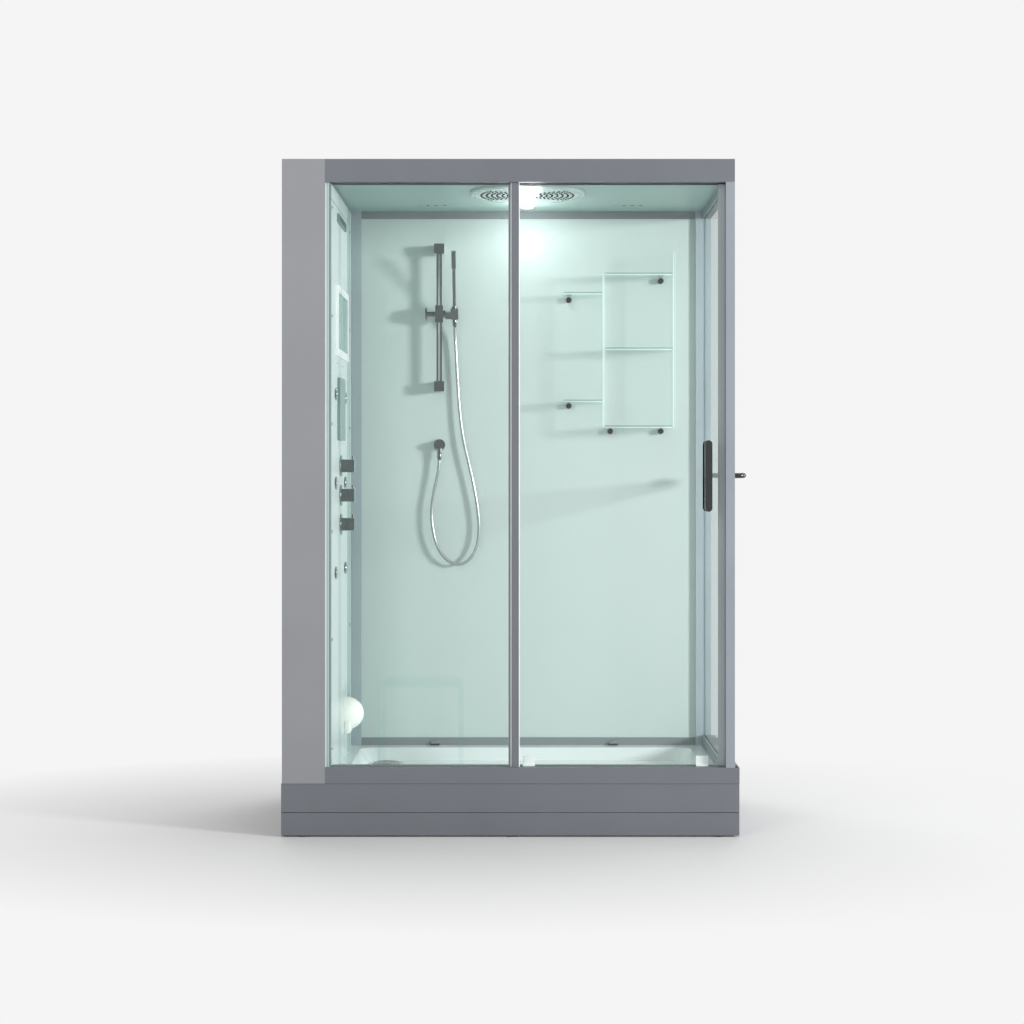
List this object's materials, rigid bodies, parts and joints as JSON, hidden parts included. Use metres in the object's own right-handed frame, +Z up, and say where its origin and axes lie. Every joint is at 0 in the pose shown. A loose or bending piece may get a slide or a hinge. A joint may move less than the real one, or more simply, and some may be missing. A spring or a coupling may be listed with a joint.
{
  "type": "steam shower cabin",
  "caption": "Rectangular steam shower cabin: glazed front with a sliding door, equipment column, rain head, wall jets, hand shower, shelves, stool and towel bar.",
  "frame": {"origin": "on the floor at the middle of the base, under the middle levelling foot", "axes": "+X to the right and +Y to the back wall as one faces the door, +Z up"},
  "size_m": [1.53, 0.8159, 2.213],
  "materials": {
    "tray_acrylic": "glossy white",
    "zinc_steel": "galvanised",
    "foot_rubber": "black",
    "rail_paint": "grey satin",
    "cover_paint": "grey satin",
    "clear_glass": "clear",
    "mint_wall": "pale mint, glossy",
    "ceiling": "mint, satin",
    "boiler_steel": "brushed",
    "white_plastic": "glossy white",
    "brass": "plain",
    "pipe_copper": "plain",
    "black_plastic": "black",
    "black_gloss": "glossy black",
    "chrome": "polished",
    "lamp_white": "frosted white",
    "hose_silver": "silver",
    "clear_acrylic": "clear",
    "seal_clear": "translucent",
    "hanger_steel": "brushed",
    "wheel_plastic": "ivory"
  },
  "bodies": {
    "cabin": {"tray": "tray_acrylic", "base_frame": "zinc_steel", "levelling_feet": "foot_rubber", "skirt_boards": "rail_paint", "sill_rail": "rail_paint", "header_rail": "rail_paint", "fixed_glass_channel": "rail_paint", "mullion": "rail_paint", "front_right_post": "rail_paint", "rear_posts": "rail_paint", "wall_rails": "rail_paint", "fixed_glass": "clear_glass", "right_glass": "clear_glass", "back_panel": "mint_wall", "column_wall_panel": "mint_wall", "roof_panel": "ceiling", "column_front_cover": "cover_paint", "column_side_cover": "cover_paint", "column_frame": "zinc_steel", "steam_generator": "boiler_steel", "control_box": "white_plastic", "valve_manifold": "brass", "water_pipes": "pipe_copper", "speaker_grille": "black_plastic", "display": "white_plastic", "control_panel": "black_gloss", "knob_rosettes": "chrome", "jet_rings": "chrome", "steam_outlet": "white_plastic", "rain_head": "white_plastic", "ceiling_lamp": "lamp_white", "riser_bar": "chrome", "wall_elbow": "chrome", "shower_hose": "hose_silver", "shelf_panels": "clear_acrylic", "shelf_clamps": "black_plastic", "towel_bar": "black_gloss", "drain_flange": "chrome", "waste_trap": "white_plastic"},
    "door": {"door_glass": "clear_glass", "door_seals": "seal_clear", "door_handles": "black_gloss", "door_hangers": "hanger_steel"},
    "left_wheel": {"door_wheel_left": "wheel_plastic"},
    "right_wheel": {"door_wheel_right": "wheel_plastic"},
    "temperature": {"temperature_knob": "chrome"},
    "flow": {"flow_knob": "chrome"},
    "diverter": {"diverter_knob": "chrome"},
    "slider": {"riser_slider": "chrome"},
    "clamp": {"clamp_knob": "chrome"},
    "holder": {"handset_holder": "chrome", "handset": "chrome"},
    "stool": {"stool": "clear_acrylic"},
    "cover": {"drain_cover": "chrome"},
    "nozzle_1": {"jet_nozzle_1": "chrome"},
    "nozzle_2": {"jet_nozzle_2": "chrome"},
    "nozzle_3": {"jet_nozzle_3": "chrome"},
    "nozzle_4": {"jet_nozzle_4": "chrome"},
    "nozzle_5": {"jet_nozzle_5": "chrome"},
    "nozzle_6": {"jet_nozzle_6": "chrome"}
  },
  "joints": [
    {"name": "door_slide", "type": "slide", "parent": "cabin", "child": "door", "axis": [-1, 0, 0], "range_m": [0, 0.57]},
    {"name": "left_wheel_roll", "type": "hinge", "parent": "door", "child": "left_wheel", "pos_m": [0.091, -0.345, 2.1843], "axis": [0, -1, 0], "range_deg": [0, 2520]},
    {"name": "right_wheel_roll", "type": "hinge", "parent": "door", "child": "right_wheel", "pos_m": [0.6, -0.345, 2.1843], "axis": [0, -1, 0], "range_deg": [0, 2520]},
    {"name": "temperature_turn", "type": "hinge", "parent": "cabin", "child": "temperature", "pos_m": [-0.56, -0.064, 1.213], "axis": [1, 0, 0], "range_deg": [-135, 135]},
    {"name": "flow_turn", "type": "hinge", "parent": "cabin", "child": "flow", "pos_m": [-0.56, -0.064, 1.112], "axis": [1, 0, 0], "range_deg": [0, 90]},
    {"name": "diverter_turn", "type": "hinge", "parent": "cabin", "child": "diverter", "pos_m": [-0.56, -0.064, 1.012], "axis": [1, 0, 0], "range_deg": [0, 180]},
    {"name": "slider_lift", "type": "slide", "parent": "cabin", "child": "slider", "axis": [0, 0, 1], "range_m": [-0.2, 0.14], "deforming": ["shower_hose"]},
    {"name": "clamp_turn", "type": "hinge", "parent": "slider", "child": "clamp", "pos_m": [-0.2775, 0.3, 1.769], "axis": [-1, 0, 0], "range_deg": [0, 120]},
    {"name": "holder_tilt", "type": "hinge", "parent": "slider", "child": "holder", "pos_m": [-0.2485, 0.3, 1.769], "axis": [1, 0, 0], "range_deg": [-12, 30]},
    {"name": "stool_move", "type": "slide", "parent": "cabin", "child": "stool", "axis": [1, 0, 0], "range_m": [0, 0.7]},
    {"name": "cover_lift", "type": "slide", "parent": "cabin", "child": "cover", "axis": [0, 0, 1], "range_m": [0, 0.03]},
    {"name": "nozzle_1_turn", "type": "hinge", "parent": "cabin", "child": "nozzle_1", "pos_m": [-0.587, -0.24, 1.453], "axis": [0, 0, 1], "range_deg": [-12, 12]},
    {"name": "nozzle_2_turn", "type": "hinge", "parent": "cabin", "child": "nozzle_2", "pos_m": [-0.587, -0.24, 1.155], "axis": [0, 0, 1], "range_deg": [-12, 12]},
    {"name": "nozzle_3_turn", "type": "hinge", "parent": "cabin", "child": "nozzle_3", "pos_m": [-0.587, -0.24, 0.854], "axis": [0, 0, 1], "range_deg": [-12, 12]},
    {"name": "nozzle_4_turn", "type": "hinge", "parent": "cabin", "child": "nozzle_4", "pos_m": [-0.587, 0.08, 1.453], "axis": [0, 0, 1], "range_deg": [-12, 12]},
    {"name": "nozzle_5_turn", "type": "hinge", "parent": "cabin", "child": "nozzle_5", "pos_m": [-0.587, 0.08, 1.155], "axis": [0, 0, 1], "range_deg": [-12, 12]},
    {"name": "nozzle_6_turn", "type": "hinge", "parent": "cabin", "child": "nozzle_6", "pos_m": [-0.587, 0.08, 0.854], "axis": [0, 0, 1], "range_deg": [-12, 12]}
  ],
  "couplings": [
    {"joint": "left_wheel_roll", "follows": "door_slide", "rad_per_m": 76.923},
    {"joint": "right_wheel_roll", "follows": "door_slide", "rad_per_m": 76.923}
  ]
}
